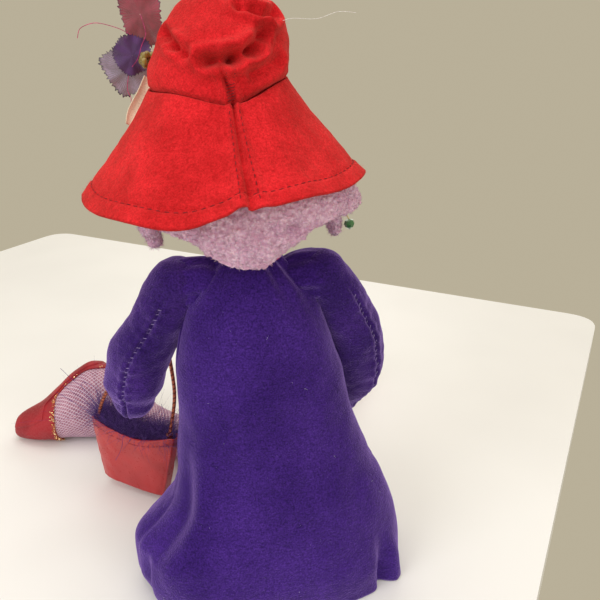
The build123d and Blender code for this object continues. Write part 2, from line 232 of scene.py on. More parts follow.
class Paint:
    """A Principled material with short ways to add nodes. Object coordinates are in metres."""

    def __init__(self, name, slot, **sockets):
        self.mat = bpy.data.materials.new(name)
        self.mat.use_nodes = True
        self.mat["slot"] = slot
        self.tree = self.mat.node_tree
        self.shader = self.tree.nodes["Principled BSDF"]
        for key, value in sockets.items():
            self.shader.inputs[key.replace("_", " ").title().replace("Ior", "IOR")].default_value = value
        self.coords = self.tree.nodes.new("ShaderNodeTexCoord")
        self.normal = None

    def node(self, kind, settings=None, **inputs):
        node = self.tree.nodes.new(kind)
        for key, value in (settings or {}).items():
            setattr(node, key, value)
        for key, value in inputs.items():
            self.put(node.inputs[key.replace("_", " ").title()], value)
        return node

    def put(self, socket, value):
        if isinstance(value, bpy.types.NodeSocket):
            self.tree.links.new(value, socket)
        else:
            socket.default_value = value

    def place(self, stretch=None, uv=False):
        source = self.coords.outputs["UV" if uv else "Object"]
        if stretch is None:
            return source
        return self.node("ShaderNodeMapping", vector=source, scale=stretch).outputs[0]

    def noise(self, size, detail=3.0, stretch=None, roughness=0.55, uv=False):
        """Noise from 0 to 1 with features of that size in mm, or in UV units."""
        scale = 1 / size if uv else 1 / (size * MM)
        node = self.node("ShaderNodeTexNoise", vector=self.place(stretch, uv), scale=scale, detail=detail,
                         roughness=roughness)
        return node.outputs["Fac"]

    def cells(self, size, feature="F1", stretch=None):
        node = self.node("ShaderNodeTexVoronoi", {"feature": feature}, vector=self.place(stretch),
                         scale=1 / (size * MM))
        return node.outputs["Distance"]

    def math(self, kind, a, b=0.0, clamp=False):
        node = self.node("ShaderNodeMath", {"operation": kind, "use_clamp": clamp})
        self.put(node.inputs[0], a)
        self.put(node.inputs[1], b)
        return node.outputs[0]

    def fit(self, value, low, high, to_low=0.0, to_high=1.0):
        node = self.node("ShaderNodeMapRange", {"interpolation_type": "SMOOTHSTEP"})
        for i, v in enumerate((value, low, high, to_low, to_high)):
            self.put(node.inputs[i], v)
        return node.outputs[0]

    def mix(self, share, a, b, blend="MIX"):
        node = self.node("ShaderNodeMix", {"data_type": "RGBA", "blend_type": blend})
        self.put(node.inputs[0], share)
        for socket, value in ((node.inputs[6], a), (node.inputs[7], b)):
            self.put(socket, (*value, 1) if isinstance(value, tuple) and len(value) == 3 else value)
        return node.outputs[2]

    def colour(self, value):
        self.put(self.shader.inputs["Base Color"], value)
        return self

    def rough(self, value):
        self.put(self.shader.inputs["Roughness"], value)
        return self

    def bump(self, height, depth, strength=1.0):
        """Adds relief of that depth in mm."""
        node = self.node("ShaderNodeBump", strength=strength, distance=depth * MM, height=height)
        if self.normal is not None:
            self.put(node.inputs["Normal"], self.normal)
        self.normal = node.outputs[0]
        self.put(self.shader.inputs["Normal"], self.normal)
        return self


def velour(name, dark, light):
    """Short-pile cloth: brushed light and dark patches, fine pile and faint knit rows."""
    p = Paint(name, "purple_velour", roughness=0.92, sheen_weight=1.0, sheen_roughness=0.36,
              sheen_tint=(0.52, 0.34, 0.95, 1), specular_ior_level=0.10)
    brushed = p.fit(p.noise(34, 3, (1, 1, 0.75)), 0.3, 0.72)
    pile = p.noise(0.95, 3, roughness=0.75)
    rows = p.noise(1.7, 2, (0.5, 0.5, 1.6))
    base = p.mix(brushed, dark, light)
    shade = p.mix(p.fit(pile, 0.3, 0.72), (0.48, 0.45, 0.54), (1.5, 1.52, 1.44))
    tone = p.mix(p.fit(rows, 0.3, 0.7), (0.86, 0.86, 0.9), (1.1, 1.1, 1.08))
    base = p.mix(1.0, p.mix(1.0, base, shade, "MULTIPLY"), tone, "MULTIPLY")
    p.colour(base)
    p.bump(rows, 0.35, 0.5).bump(p.noise(3.2, 3), 0.5, 0.5).bump(pile, 0.55, 0.9)
    return p.mat


def felt(name, low, high):
    """Needled wool felt: tangled short fibres, small pits with painted shade in them, and slightly uneven dye."""
    p = Paint(name, "red_felt", roughness=0.95, sheen_weight=0.28, sheen_roughness=0.5,
              sheen_tint=(1.0, 0.25, 0.2, 1), specular_ior_level=0.1)
    fibres = p.noise(0.9, 7, (1, 1, 1), 0.8)
    pits = p.noise(2.2, 4, roughness=0.65)
    cloud = p.noise(18, 3)
    base = p.mix(p.fit(cloud, 0.35, 0.65), low, high)
    # painted shade: the colour is darkened in the pits, the low places of the bump
    base = p.mix(1.0, base, p.mix(p.fit(pits, 0.3, 0.62), (0.86, 0.76, 0.76), (1.03, 1.03, 1.03)), "MULTIPLY")
    base = p.mix(1.0, base, p.mix(p.fit(fibres, 0.3, 0.66), (0.62, 0.42, 0.42), (1.14, 1.35, 1.35)), "MULTIPLY")
    p.colour(base).bump(pits, 0.7, 0.7).bump(fibres, 0.45, 0.9)
    return p.mat


def fleece():
    """Sherpa wig cloth: small curls that shade each other, pink-lilac."""
    p = Paint("hair_fleece", "hair_fleece", roughness=0.95, sheen_weight=0.35, sheen_roughness=0.5,
              sheen_tint=(0.95, 0.8, 0.9, 1), specular_ior_level=0.1, subsurface_weight=0.08,
              subsurface_scale=0.002)
    curls = p.cells(1.5, "SMOOTH_F1")
    fine = p.noise(0.7, 4, roughness=0.7)
    patch = p.noise(9, 3)
    base = p.mix(p.fit(patch, 0.35, 0.68), (0.77, 0.53, 0.70), (0.86, 0.63, 0.79))
    # painted shade between the curls: the colour darkens away from each curl's middle
    base = p.mix(p.fit(curls, 0.12, 0.62), base, p.mix(1.0, base, (0.76, 0.62, 0.70), "MULTIPLY"))
    base = p.mix(1.0, base, p.mix(p.fit(fine, 0.3, 0.7), (0.85, 0.82, 0.85), (1.12, 1.14, 1.12)), "MULTIPLY")
    p.colour(base).bump(p.math("MULTIPLY", curls, -1.0), 1.5, 0.9).bump(fine, 0.5, 0.7)
    return p.mat


def woven(name, slot, colour, size=0.6, contrast=0.25, **sockets):
    """Plain woven or knitted cloth in object space."""
    p = Paint(name, slot, **{"roughness": 0.85, "sheen_weight": 0.2, "specular_ior_level": 0.2, **sockets})
    yarn = p.noise(size, 3, (1, 1, 2.2), 0.6)
    cloud = p.noise(14, 3)
    low = tuple(c * (1 - contrast) for c in colour)
    high = tuple(min(c * (1 + contrast), 1) for c in colour)
    base = p.mix(p.fit(yarn, 0.3, 0.7), low, high)
    base = p.mix(1.0, base, p.mix(p.fit(cloud, 0.3, 0.7), (0.9, 0.9, 0.9), (1.05, 1.05, 1.05)), "MULTIPLY")
    p.colour(base).bump(yarn, 0.3, 0.7)
    return p.mat


def organza(name, slot, colour, rim, see=0.62):
    """Thin stiff gauze with a fine weave; rim is the singed edge's colour."""
    p = Paint(name, slot, roughness=0.45, sheen_weight=0.3, transmission_weight=0.0, specular_ior_level=0.35)
    u = p.node("ShaderNodeTexWave", {"bands_direction": "X"}, vector=p.place(uv=True), scale=22.0, distortion=0.5)
    v = p.node("ShaderNodeTexWave", {"bands_direction": "Y"}, vector=p.place(uv=True), scale=22.0, distortion=0.5)
    weave = p.math("MAXIMUM", u.outputs["Fac"], v.outputs["Fac"])
    edge = p.node("ShaderNodeSeparateXYZ", vector=p.place(uv=True)).outputs["Y"]
    singed = p.fit(p.math("ADD", edge, p.math("MULTIPLY", p.noise(0.06, 3, uv=True), 0.12)), 0.98, 1.06)
    tint = p.mix(p.fit(p.noise(4, 3), 0.35, 0.65), tuple(c * 0.72 for c in colour), colour)
    p.colour(p.mix(singed, p.mix(weave, p.mix(1.0, tint, (0.8, 0.8, 0.8), "MULTIPLY"), tint), rim))
    alpha = p.math("MAXIMUM", p.fit(weave, 0.2, 0.9, see, 0.97), singed)
    p.put(p.shader.inputs["Alpha"], alpha)
    p.bump(weave, 0.15, 0.6)
    return p.mat


def net():
    """Lilac fishnet over the pink leg cloth."""
    p = Paint("fishnet_stocking", "fishnet_stocking", roughness=0.7, sheen_weight=0.3,
              sheen_tint=(0.8, 0.6, 0.9, 1), specular_ior_level=0.25)
    split = p.node("ShaderNodeSeparateXYZ", vector=p.place(uv=True))
    lines = []
    for sign in (1.0, -1.0):
        slant = p.math("ADD", p.math("MULTIPLY", split.outputs["X"], 0.65),
                       p.math("MULTIPLY", split.outputs["Y"], 0.55 * sign))
        saw = p.math("ABSOLUTE", p.math("SUBTRACT", p.math("FRACT", slant), 0.5))
        lines.append(p.fit(saw, 0.34, 0.42))
    thread = p.math("MAXIMUM", *lines)
    cloth = p.mix(p.fit(p.noise(6, 3), 0.35, 0.65), (0.30, 0.10, 0.17), (0.44, 0.20, 0.28))
    yarn = p.mix(p.fit(p.noise(0.5, 2), 0.3, 0.7), (0.58, 0.42, 0.54), (0.78, 0.62, 0.72))
    p.colour(p.mix(thread, cloth, yarn)).bump(thread, 0.35, 0.9).bump(p.noise(0.5, 2), 0.2, 0.5)
    return p.mat


def vinyl(name, slot, low, high, gloss=0.3, coat=0.6):
    """Soft glossy sheet: faint grain, slow ripples and small scuffs."""
    p = Paint(name, slot, roughness=gloss, coat_weight=coat, coat_roughness=0.14, specular_ior_level=0.5)
    ripple = p.noise(16, 1)
    grain = p.noise(0.7, 3)
    scuff = p.fit(p.noise(2.6, 6, roughness=0.75), 0.6, 0.74)
    base = p.mix(p.fit(ripple, 0.34, 0.66), low, high)
    p.colour(p.mix(p.math("MULTIPLY", scuff, 0.05), base, tuple(min(c * 1.5 + 0.03, 1) for c in high)))
    p.rough(p.fit(p.noise(1.6, 4), 0.3, 0.75, gloss * 0.75, gloss * 1.5))
    p.bump(ripple, 0.5, 0.4).bump(grain, 0.04, 0.5)
    return p.mat


def fibre(name, slot, low, high, size=2.0, **sockets):
    """Hair, thread or feather barb, with tone that changes from strand to strand."""
    p = Paint(name, slot, **{"roughness": 0.6, "specular_ior_level": 0.3, **sockets})
    p.colour(p.mix(p.fit(p.noise(size, 2), 0.35, 0.65), low, high))
    p.bump(p.noise(0.3, 2), 0.05, 0.5)
    return p.mat


def metal(name, slot, low, high, rough=0.3):
    p = Paint(name, slot, roughness=rough, metallic=1.0)
    p.colour(p.mix(p.fit(p.noise(1.1, 3), 0.35, 0.65), low, high))
    p.bump(p.noise(0.5, 2), 0.08, 0.6)
    return p.mat


VELOUR = velour("purple_velour", (0.030, 0.0085, 0.128), (0.050, 0.0165, 0.190))
VELOUR_ARM = velour("purple_velour_arm", (0.026, 0.0085, 0.104), (0.050, 0.0175, 0.170))
FELT = felt("red_felt", (0.54, 0.011, 0.015), (0.72, 0.018, 0.025))
HAIR = fleece()
COTTON = woven("cotton_lining", "cotton_lining", (0.62, 0.58, 0.60))
CARD = woven("tube_card", "tube_card", (0.50, 0.40, 0.28), 1.6, 0.12, sheen_weight=0.0)
SKIN = woven("skin_cloth", "skin_cloth", (0.74, 0.44, 0.33), 0.5, 0.08, subsurface_weight=0.12,
             subsurface_scale=0.004)
LIPS = woven("lips_red", "lips_red", (0.45, 0.03, 0.04), 0.5, 0.3)
EYE = vinyl("eye_bead", "eye_bead", (0.006, 0.005, 0.006), (0.012, 0.010, 0.012), 0.12, 1.0)
GEM = vinyl("green_gem", "green_gem", (0.015, 0.07, 0.02), (0.04, 0.16, 0.05), 0.12, 1.0)
PETAL = organza("purple_organza", "purple_organza", (0.30, 0.016, 0.055), (0.08, 0.006, 0.05), 0.8)
PETAL_INNER = organza("dark_organza", "purple_organza", (0.085, 0.018, 0.16), (0.03, 0.008, 0.05), 0.8)
PETAL_PALE = organza("lavender_organza", "lavender_organza", (0.29, 0.21, 0.34), (0.02, 0.012, 0.035), 0.55)
OLIVE = vinyl("olive_bead", "olive_bead", (0.17, 0.12, 0.015), (0.32, 0.24, 0.05), 0.3)
CREAM = woven("cream_ribbon", "cream_ribbon", (0.80, 0.72, 0.55), 0.8, 0.12)
NET = net()
SHOE = vinyl("shoe_red", "shoe_red", (0.25, 0.006, 0.014), (0.34, 0.009, 0.018), 0.6, 0.05)
GLITTER = metal("gold_glitter", "gold_glitter", (0.90, 0.58, 0.24), (1.0, 0.86, 0.52), 0.22)
VINYL = vinyl("purse_red", "purse_red", (0.39, 0.010, 0.014), (0.46, 0.014, 0.018), 0.34, 0.3)
FEATHER = fibre("marabou", "marabou", (0.018, 0.005, 0.075), (0.07, 0.02, 0.20), 3.0, sheen_weight=0.5,
                sheen_tint=(0.5, 0.3, 0.9, 1))
COPPER = metal("copper_braid", "copper_braid", (0.24, 0.05, 0.03), (0.62, 0.20, 0.11), 0.32)
COPPER_DARK = metal("copper_braid_dark", "copper_braid", (0.08, 0.012, 0.02), (0.22, 0.04, 0.04), 0.4)
THREAD = fibre("thread", "thread", (0.30, 0.02, 0.10), (0.62, 0.05, 0.22), 1.5)
THREAD_DARK = fibre("thread_dark", "thread", (0.10, 0.004, 0.008), (0.26, 0.010, 0.015), 1.5)
# pale thread for the sleeve stitches; also used for the pale pile fibres on the velour, which are painted sheen
PALE_THREAD_AND_SHEEN = fibre("pale_thread_and_painted_sheen", "thread", (0.20, 0.14, 0.36), (0.42, 0.34, 0.60), 1.5)
RED_FIBRE = fibre("red_felt_fibre", "red_felt", (0.50, 0.012, 0.02), (0.85, 0.05, 0.05), 1.0)
LINT = fibre("white_lint", "thread", (0.7, 0.68, 0.72), (0.9, 0.9, 0.92), 1.0)

# ------------------------------------------------------------------ camera, lights, stage


def make_stage():
    table = Paint("stage_table", "cotton_lining", roughness=0.42, specular_ior_level=0.3)
    table.colour(table.mix(table.fit(table.noise(160, 2), 0.3, 0.7), (0.815, 0.815, 0.82), (0.845, 0.845, 0.85)))
    corners = [(766, -109), (184, -796), (-427, -278), (155, 409)]
    rounded = []
    for i, corner in enumerate(corners):
        c = np.array(corner, float)
        before = unit(np.array(corners[i - 1], float) - c)
        after = unit(np.array(corners[(i + 1) % 4], float) - c)
        for t in np.linspace(0, 1, 9):
            rounded.append(c + before * 32 * (1 - t) ** 2 + after * 32 * t * t)
    n = len(rounded)
    verts = [(x, y, 0) for x, y in rounded] + [(x, y, -30) for x, y in rounded]
    faces = [tuple(range(n))[::-1], tuple(range(n, 2 * n))]
    faces += [(i, (i + 1) % n, n + (i + 1) % n, n + i) for i in range(n)]
    top = piece("stage_table", (verts, faces, None), table.mat, None)
    top.data.polygons.foreach_set("use_smooth", [False] * len(top.data.polygons))
    world = bpy.data.worlds.new("world")
    bpy.context.scene.world = world
    world.use_nodes = True
    back = world.node_tree.nodes["Background"]
    back.inputs[0].default_value = (0.55, 0.49, 0.36, 1)
    back.inputs[1].default_value = 0.88
    bpy.context.scene.view_settings.view_transform = "Standard"


def make_light(name, place, target, size, power, colour):
    data = bpy.data.lights.new(name, "AREA")
    data.shape = "RECTANGLE"
    data.size, data.size_y = size
    data.energy = power
    data.color = colour
    lamp = bpy.data.objects.new(name, data)
    bpy.context.scene.collection.objects.link(lamp)
    lamp.location = place
    lamp.rotation_euler = (Vector(target) - Vector(place)).to_track_quat("-Z", "Y").to_euler()


def make_camera():
    data = bpy.data.cameras.new("camera")
    data.sensor_width = 36
    data.lens = 40.5
    data.clip_start = 0.01
    camera = bpy.data.objects.new("camera", data)
    bpy.context.scene.collection.objects.link(camera)
    camera.location = (0.06334, 0.31606, 0.294)
    camera.rotation_euler = Vector((-0.22524, -0.90340, -0.36488)).to_track_quat("-Z", "Y").to_euler()
    bpy.context.scene.camera = camera


make_camera()
make_stage()
make_light("ceiling", (0.10, 0.05, 1.5), (0.0, 0.0, 0.1), (1.6, 1.2), 10.5, (1.0, 0.975, 0.94))
make_light("window", (1.1, 0.7, 0.9), (0.0, 0.0, 0.12), (0.9, 0.9), 10.0, (0.98, 0.98, 1.0))
make_light("room", (-0.35, 1.25, 0.65), (0.0, 0.0, 0.14), (1.0, 0.8), 7.5, (1.0, 0.96, 0.92))
make_light("front", (-0.3, -1.2, 0.8), (0.0, 0.0, 0.12), (1.0, 0.8), 4.0, (1.0, 0.97, 0.94))

# ------------------------------------------------------------------ purse strap, a free cord

STRAP_ROUTE = [(54.4, -71.2, 52.0), (51.5, -66.5, 68.0), (49.5, -57.5, 88.0), (50.5, -46.5, 108.0),
               (52.3, -36.6, 127.5), (55.2, -35.0, 133.0), (60.5, -36.5, 135.6), (65.6, -40.2, 133.4),
               (69.8, -45.5, 127.5), (81.0, -60.0, 106.0), (91.0, -80.0, 84.0), (97.0, -95.6, 66.0),
               (99.6, -106.4, 53.0)]


def make_strap():
    curve = bpy.data.curves.new("strap_route", "CURVE")
    curve.dimensions = "3D"
    curve.resolution_u = 24
    spline = curve.splines.new("NURBS")
    spline.points.add(len(STRAP_ROUTE) - 1)
    for point, (x, y, z) in zip(spline.points, STRAP_ROUTE):
        point.co = (x * MM, y * MM, z * MM, 1)
    spline.order_u = 3
    spline.use_endpoint_u = True
    holder = bpy.data.objects.new("strap_route", curve)
    bpy.context.scene.collection.objects.link(holder)
    line = bpy.data.meshes.new_from_object(holder.evaluated_get(bpy.context.evaluated_depsgraph_get()))
    path = np.array([v.co for v in line.vertices]) / MM
    bpy.data.objects.remove(holder)
    bpy.data.meshes.remove(line)
    chord = np.concatenate([[0], np.cumsum(np.linalg.norm(np.diff(path, axis=0), axis=1))])
    at = np.linspace(0, chord[-1], 700)
    fine = np.column_stack([np.interp(at, chord, path[:, k]) for k in range(3)])
    _, side, up = tube_frames(fine)
    shapes = []
    for start in range(3):
        turn = (2 * pi * at / 5.0 + 2 * pi * start / 3)[:, None]
        line = fine + 0.60 * (side * np.cos(turn) + up * np.sin(turn))
        shapes.append(strands([line], np.full((1, len(line)), 0.60), 10))
    cord = piece("purse_strap_cord", merge(*shapes), COPPER, "purse", stands_for=["purse_strap"])
    cord.data.materials.append(COPPER_DARK)
    third = len(cord.data.polygons) // 3
    cord.data.polygons.foreach_set("material_index", [int(i >= 2 * third) for i in range(len(cord.data.polygons))])


make_strap()

# ------------------------------------------------------------------ dress

# height, left edge x, right edge x, y centre, half depth, squareness
DRESS = [(0, 72, -74, 0.5, 45.5, 2.7), (14, 76, -74, 0.5, 46, 2.7), (31, 76.5, -71, 0.5, 44.5, 2.6),
         (45, 67, -67.5, 0.5, 42.5, 2.5), (60, 56.5, -62, 0.5, 39.5, 2.45), (76, 53, -53.5, 0, 36, 2.4),
         (95, 51.5, -46.5, 0, 32.5, 2.3), (134, 49.5, -36, 0, 27.5, 2.2), (160, 45, -27.5, 0, 24, 2.1),
         (176, 38, -19.5, -0.5, 21, 2), (187, 29.5, -10, -2, 17.5, 2), (193.5, 23.5, -3.5, -2, 13, 2)]


def dress_rows(inset, low, high, around=360, rows=190):
    """Rings of the dress between two heights, moved inward by inset, with its folds and gathers."""
    heights = np.linspace(low, high, rows)
    shape = curve_through(DRESS, heights)
    theta = np.linspace(-pi, pi, around, endpoint=False)
    left, right, mid_y, deep, square = (shape[:, k][:, None] for k in range(5))
    c, s = np.cos(theta)[None], np.sin(theta)[None]
    reach = 2 / square
    x = (left + right) / 2 + (left - right) / 2 * np.sign(c) * np.abs(c) ** reach
    y = mid_y + deep * np.sign(s) * np.abs(s) ** reach
    z = np.repeat(heights[:, None], around, 1)
    points = np.stack([x, y, z], -1)
    normal = outward(points)
    deg = np.degrees(theta)[None] + 0 * z
    body = ramp(z, 18, 45) * (1 - ramp(z, 62, 112))
    fold = 2.2 * bell(deg - 40, 9) * body - 3.4 * bell(deg - 24, 10) * body
    fold += 3.0 * bell(deg + 4, 9) * (1 - ramp(z, 30, 60)) * ramp(z, 4, 16)
    fold -= 3.5 * bell(deg - 14, 6) * (1 - ramp(z, 18, 48))
    neck = ramp(z, 128, 190)
    turn = np.radians(deg)
    pleats = np.cos(11 * turn + 0.8 * np.sin(3 * turn)) * neck ** 2.2
    fold += 0.8 * pleats * (0.6 + 0.4 * np.cos(2 * turn + 1))
    below = 191 - z
    near = y > 0
    for way, strong in ((0.62, 1.7), (-0.55, 1.9), (0.02, 1.2)):
        wide = 2.6 + 0.16 * below
        fold += near * strong * bell(x - (9 + way * below), wide) * np.exp(-below / 30)
        fold -= near * 0.8 * strong * bell(x - (9 + (way + 0.30) * below), wide) * np.exp(-below / 28)
    hem = 1 - ramp(z, 2, 34)
    fold += hem * (1.3 * np.cos(5 * turn + 0.5) + 0.8 * np.cos(9 * turn + 2))
    creased = 1 - ramp(z, 10, 40)
    fold += (2.2 * bell(deg - 146, 6) - 6.0 * bell(deg - 134, 4.8)) * creased
    fold -= 0.9 * (bell(deg - 2, 1.6) + bell(np.abs(deg) - 178.5, 1.6)) * ramp(z, 2, 6)
    fold += 1.5 * lumps(points, 34) + 0.5 * lumps(points, 11, 5.0)
    fold = np.clip(fold, -9, 3.2)
    return points + normal * (fold - inset)[..., None]


def make_dress():
    rows = dress_rows(0, 0.6, 193.5)
    rolled = dress_rows(1.1, 0.6, 12, rows=12)[::-1]
    shell = piece("dress_shell", grid(np.concatenate([rolled, rows])), VELOUR, "root",
                  stands_for=["dress_front_panel", "dress_back_panel"])
    hem = piece("dress_hem_facing", grid(dress_rows(1.6, 0.8, 13, rows=14)), VELOUR, "root",
                stands_for=["dress_hem"])
    modify(hem, "SOLIDIFY", thickness=0.8 * MM, offset=-1)
    lining = piece("glove_lining", grid(dress_rows(2.9, 14, 186, 180, 90)), COTTON, "root",
                   stands_for=["hand_lining"])
    modify(lining, "SOLIDIFY", thickness=0.6 * MM, offset=-1)
    lint = fuzz("dress_lint", shell, LINT, "root", 70, 1.6, 0.05, 1.6)
    # painted sheen: pale fibres standing off the dark velour, lighter than its pile really is
    pile = fuzz("dress_pile_painted_sheen", shell, PALE_THREAD_AND_SHEEN, "root", 900, 0.9, 0.03, 0.7)
    return shell, lint, pile


make_dress()


def make_neck():
    """Loose thread wound round the gathers."""
    turn = np.linspace(0, 2 * pi * 7, 560)
    wobble = 0.5 * np.sin(turn * 3.3) + 0.35 * np.sin(turn * 7.1)
    line = np.column_stack([10 + (15.4 + 0.5 * wobble) * np.cos(turn), -2 + (15.0 + 0.5 * wobble) * np.sin(turn),
                            191.6 + 0.62 * turn / pi * 0.9 + wobble * 0.5])
    shape = strands([line], np.full((1, 560), 0.42), 6)
    piece("neck_thread", shape, THREAD, "neck", stands_for=["neck_binding"])


make_neck()

# ------------------------------------------------------------------ arms

LEFT_ARM = [(46, -9, 178), (56.5, -13, 157), (67.5, -17, 138), (72, -20, 121), (73, -21.5, 110)]
RIGHT_ARM = [(-27, 1, 181), (-38.5, -3, 161), (-47.5, -8, 139), (-50.5, -15, 117), (-48.5, -24, 97)]
ARM_RADII = {"left": [14.3, 15.0, 16.3, 16.0, 12.2], "right": [13.2, 15.2, 17.2, 16.2, 11.5]}


def make_arm(side, path, seam_at, seed):
    rows = limb_rows(path, ARM_RADII[side], around=160, step=0.75)
    normal = outward(rows)
    n, m, _ = rows.shape
    deg = np.degrees(np.linspace(0, 2 * pi, m, endpoint=False))[None]
    off = (deg - seam_at + 180) % 360 - 180
    t = np.linspace(0, 1, n)[:, None]
    live = ramp(t, 0.12, 0.25)
    shift = -1.3 * bell(off, 3.2) * live + 0.6 * bell(np.abs(off) - 9, 5.5) * live
    shift += 0.40 * np.sin(t * 95 + 0.6 * np.sin(off / 9)) * bell(off, 17) * live
    shift -= 1.0 * bell((off + 360) % 360 - 180, 3.0) * live
    shift += 1.3 * lumps(rows, 17, seed) + 0.45 * lumps(rows, 5.5, seed + 4)
    rows = rows + normal * np.clip(shift - 0.3, -3.5, 1.6)[..., None]
    body = f"{side}_arm"
    stands = [f"{side}_arm_sleeve", f"{side}_arm_stuffing"]
    sleeve = piece(f"{side}_sleeve", grid(rows), VELOUR_ARM, body, stands_for=stands)
    col = int(round(seam_at / 360 * m)) % m
    lines = []
    for i in range(int(n * 0.22), int(n * 0.86), 4):
        across = rows[i, (col + 3) % m] - rows[i, (col - 3) % m]
        slant = rows[min(i + 2, n - 1), col] - rows[i, col]
        mid = rows[i, col] + normal[i, col] * 0.75
        bow = np.linspace(-0.5, 0.5, 5)[:, None]
        lines.append(mid + across * bow * 0.95 + slant * bow - normal[i, col] * (2.2 * bow ** 2))
    stitches = piece(f"{side}_sleeve_stitches", strands(lines, np.full((len(lines), 5), 0.16), 4), PALE_THREAD_AND_SHEEN, body)
    # painted sheen: pale nap fibres standing off the dark sleeve velour
    fuzz(f"{side}_sleeve_nap_painted_sheen", sleeve, PALE_THREAD_AND_SHEEN, body, 500, 1.1, 0.03, 0.9)
    return stitches


def make_collar(side, inner, outer):
    """The gathered cloth between the dress and the ball of the arm's top, which turns inside it."""
    middle = (np.array(inner, float) + outer) / 2 + np.array([0, 0, 1.2])
    rows = limb_rows([inner, middle, outer], [11.0, 12.9, 13.5], around=120, step=0.8)
    turn = np.linspace(0, 2 * pi, rows.shape[1], endpoint=False)[None]
    shift = 0.5 * np.cos(9 * turn) + 0.7 * lumps(rows, 9, 3.0) - 0.4
    piece(f"{side}_collar", grid(rows + outward(rows) * shift[..., None]), VELOUR, "root",
          stands_for=[f"{side}_armhole_ring"])


make_collar("left", (24, -4, 178), (41, -8, 178))
make_collar("right", (-8, -1, 177), (-23, 0, 180))
make_arm("left", LEFT_ARM, 20, 2.0)
make_arm("right", RIGHT_ARM, 332, 9.0)

# ------------------------------------------------------------------ hat

HEAD_PLACE = (Matrix.Translation(Vector((10, -2, 188)) * MM) @ Matrix.Rotation(radians(5), 4, "Y"))
HAT_PLACE = (Matrix.Translation(Vector((20, -4, 228)) * MM) @ Matrix.Rotation(radians(5), 4, "Y"))
# distance along the crown's outline, radius, height
CROWN = [(0, 31.9, 39), (12, 31.9, 50), (22, 30.6, 60), (30, 28.4, 67), (38, 24.8, 74), (47, 18.5, 81), (56, 9, 85.5),
         (66, 0.6, 86.5)]
# height and how far the crown leans to her right there
CROWN_LEAN = [(39, 2.3), (47, 2.6), (56, 3.2), (64, 6.0), (72, 7.6), (80, 7.8), (90, 7.8)]
SEAM_DEG = 92.0


def crease(points, normal, start, end, depth, width, lip=0.35):
    """A fold pressed in along a line in the hat's frame, with a raised lip each side."""
    a, b = np.asarray(start, float), np.asarray(end, float)
    t = np.clip(((points - a) @ (b - a)) / ((b - a) @ (b - a)), 0, 1)
    gap = np.linalg.norm(points - (a + t[..., None] * (b - a)), axis=-1)
    pressed = -depth * bell(gap, width) + lip * depth * bell(gap - 2.1 * width, width)
    return normal * pressed[..., None]


# degrees round the hat, and how far the brim's edge stands out and up there
BRIM_EDGE = [(0, -0.5, 3.5), (22, 1.0, 1.5), (45, -1.0, -1.0), (65, -2.0, -3.0), (80, -4.0, -0.5), (92, -5.0, 3.5),
             (112, -4.0, 2.0), (138, -2.5, 0.5), (160, 0.0, 1.0), (178, -1.0, 0.5), (205, -1.5, -0.5), (240, 1.0, 1.0),
             (275, 2.5, -1.5), (310, -1.0, 0.5), (360, -0.5, 3.5)]


def junction(deg):
    """Height of the seam between crown and brim, which dips at the back."""
    return 46 - 7 * bell(deg - SEAM_DEG, 32)


def brim_rows(inset):
    t = np.linspace(0, 1, 64)[:, None]
    deg = np.linspace(0, 360, 400, endpoint=False)[None]
    rad = np.radians(deg)
    edge = 1 - t
    out, up = curve_through(BRIM_EDGE, deg[0]).T
    radius = 66 - 34.3 * t - 2.0 * np.sin(pi * t) + edge ** 1.3 * (out[None] + 0.5 * np.cos(7 * rad))
    height = junction(deg) * t + edge * (up[None] + 0.4 * np.cos(9 * rad))
    height -= 1.3 * ramp(deg, 91, 93) * (1 - ramp(deg, 93, 112)) * edge
    points = np.stack([radius * np.cos(rad) - 2.3 * t, radius * np.sin(rad), height], -1)
    normal = outward(points)
    hemmed = 0.45 * (1 - ramp(t, 0.115, 0.135)) - 0.75 * bell(t - 0.13, 0.012)
    seam = (deg - SEAM_DEG) / (3.4 - 1.2 * t)
    shift = hemmed - 2.3 * bell(seam, 0.42) + 1.2 * bell(np.abs(seam) - 1.4, 0.7)
    shift = shift + 0.9 * lumps(points, 20, 3.0) + 0.3 * lumps(points, 5, 8.0)
    return points + normal * (shift - inset)[..., None]


def crown_rows(inset):
    profile = curve_through(CROWN, np.linspace(0, 66, 150))
    lean = curve_through(CROWN_LEAN, profile[:, 1])[:, :1]
    deg = np.linspace(0, 360, 360, endpoint=False)[None]
    rad = np.radians(deg)
    radius, height = profile[:, :1], profile[:, 1:2] + 0 * deg
    height = height + (junction(deg) - 39) * (1 - ramp(height, 39, 58))
    points = np.stack([radius * np.cos(rad) - lean, radius * np.sin(rad), height], -1)
    normal = outward(points)
    moved = points.copy()
    for fold in CROWN_FOLDS:
        moved = moved + crease(points, normal, *fold)
    level = 1 - ramp(height, 54, 57)
    seam = (deg - SEAM_DEG + 7 * ramp(height, 40, 55)) / 4.2
    shift = level * (1.5 * bell(np.abs(seam) - 1.2, 0.7) - 1.9 * bell(seam, 0.4))
    shift -= 1.5 * bell(height - junction(deg), 1.5)
    shift = shift + 1.3 * lumps(points, 22, 6.0) + 0.5 * lumps(points, 8, 1.5) - 0.3
    return moved + normal * (shift - inset)[..., None]


